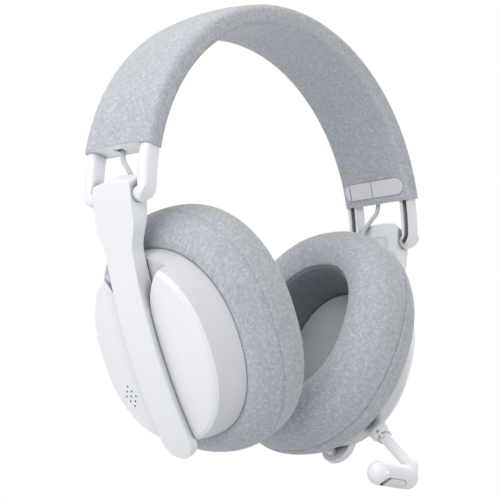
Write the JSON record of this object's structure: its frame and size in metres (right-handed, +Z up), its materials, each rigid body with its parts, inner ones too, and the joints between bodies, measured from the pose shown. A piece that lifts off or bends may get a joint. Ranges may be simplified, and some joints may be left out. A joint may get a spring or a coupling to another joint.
{
  "type": "gaming headset",
  "caption": "Over-ear wireless gaming headset: knit-covered band, fork sliders, tilting arms, closed cups, deep knit cushions and a plug-in boom microphone.",
  "frame": {"origin": "underside of the headband at its crown, in the middle of its width", "axes": "+X to the wearer's left, -Y to the front, +Z up"},
  "size_m": [0.1758, 0.0991, 0.2043],
  "materials": {
    "knit_cover": "light blue-grey heathered knit with a fine rib",
    "foam": "open-cell foam, hidden inside the cover",
    "spring_steel": "spring steel strip",
    "screw_steel": "zinc-plated small screws and pins",
    "trim_grey": "pale grey satin plastic",
    "white_shell": "cool white satin moulding",
    "inner_cover_white": "white moulding, a little greyer",
    "black_plastic": "black moulding behind the cushions",
    "driver_metal": "driver basket and magnet cup",
    "speaker_cloth": "dark stiffened cloth",
    "cushion_knit": "light blue-grey coarse knit over foam",
    "board_green": "solder-masked circuit board",
    "battery_wrap": "wrapped lithium cell",
    "socket_steel": "stamped socket shell and microphone can",
    "switch_grey": "pale grey switch knob",
    "lead_grey": "pale grey cable sheath",
    "light_pipe": "clear plastic light pipe, unlit"
  },
  "bodies": {
    "headband": {"band_cover": "knit_cover", "band_pad": "foam", "spring_strip": "spring_steel", "band_screws": "screw_steel", "inner_trim": "trim_grey", "end_housing_l": "white_shell", "end_housing_r": "white_shell"},
    "slider_l": {"fork_l": "white_shell", "lead_l": "lead_grey"},
    "arm_l": {"arm_shell_l": "white_shell", "arm_cover_l": "inner_cover_white", "arm_screws_l": "screw_steel"},
    "cup_l": {"cup_shell_l": "white_shell", "front_plate_l": "white_shell", "rear_plate_l": "white_shell", "pivot_pins_l": "screw_steel", "baffle_l": "black_plastic", "baffle_screws_l": "screw_steel", "driver_l": "driver_metal", "speaker_cloth_l": "speaker_cloth", "pad_ring_l": "black_plastic", "cushion_l": "cushion_knit", "circuit_board": "board_green", "usb_port": "socket_steel", "audio_jack": "black_plastic", "mic_socket": "white_shell"},
    "slider_r": {"fork_r": "white_shell", "lead_r": "lead_grey"},
    "arm_r": {"arm_shell_r": "white_shell", "arm_cover_r": "inner_cover_white", "arm_screws_r": "screw_steel"},
    "cup_r": {"cup_shell_r": "white_shell", "front_plate_r": "white_shell", "rear_plate_r": "white_shell", "pivot_pins_r": "screw_steel", "baffle_r": "black_plastic", "baffle_screws_r": "screw_steel", "driver_r": "driver_metal", "speaker_cloth_r": "speaker_cloth", "pad_ring_r": "black_plastic", "cushion_r": "cushion_knit", "battery": "battery_wrap"},
    "mic": {"mic_boom": "white_shell", "mic_capsule": "white_shell", "mic_element": "socket_steel", "mic_led": "light_pipe"},
    "mute_switch": {"mute_switch": "switch_grey"},
    "power_button": {"power_button": "white_shell"},
    "volume_wheel": {"volume_wheel": "white_shell"}
  },
  "joints": [
    {"name": "slider_l_extend", "type": "hinge", "parent": "headband", "child": "slider_l", "pos_m": [0, 0, -0.0783], "axis": [0, 1, 0], "range_deg": [-3.8, 3.5], "deforming": ["lead_l"]},
    {"name": "arm_l_tilt", "type": "hinge", "parent": "slider_l", "child": "arm_l", "pos_m": [0.08283, 0, -0.08163], "axis": [0, -1, 0], "range_deg": [-1.5, 20]},
    {"name": "cup_l_swivel", "type": "hinge", "parent": "arm_l", "child": "cup_l", "pos_m": [0.05861, 0, -0.13858], "axis": [-0.3655, 0, -0.9308], "range_deg": [-3, 3]},
    {"name": "slider_r_extend", "type": "hinge", "parent": "headband", "child": "slider_r", "pos_m": [0, 0, -0.0783], "axis": [0, -1, 0], "range_deg": [-3.8, 3.5], "deforming": ["lead_r"]},
    {"name": "arm_r_tilt", "type": "hinge", "parent": "slider_r", "child": "arm_r", "pos_m": [-0.08283, 0, -0.08163], "axis": [0, 1, 0], "range_deg": [-1.5, 20]},
    {"name": "cup_r_swivel", "type": "hinge", "parent": "arm_r", "child": "cup_r", "pos_m": [-0.05861, 0, -0.13858], "axis": [0.3655, 0, -0.9308], "range_deg": [-3, 3]},
    {"name": "mic_unplug", "type": "slide", "parent": "cup_l", "child": "mic", "axis": [-0.2496, -0.7978, -0.5488], "range_m": [0, 0.01]},
    {"name": "mute_slide", "type": "slide", "parent": "mic", "child": "mute_switch", "axis": [-0.996, 0, 0.0889], "range_m": [0, 0.002]},
    {"name": "power_press", "type": "slide", "parent": "cup_l", "child": "power_button", "axis": [-0.0093, -0.9997, -0.0205], "range_m": [0, 0.0006], "stiffness_N_per_m": 700},
    {"name": "volume_turn", "type": "hinge", "parent": "cup_l", "child": "volume_wheel", "pos_m": [0.06356, 0.02435, -0.12577], "axis": [0.9103, 0, -0.4141], "continuous": true}
  ]
}
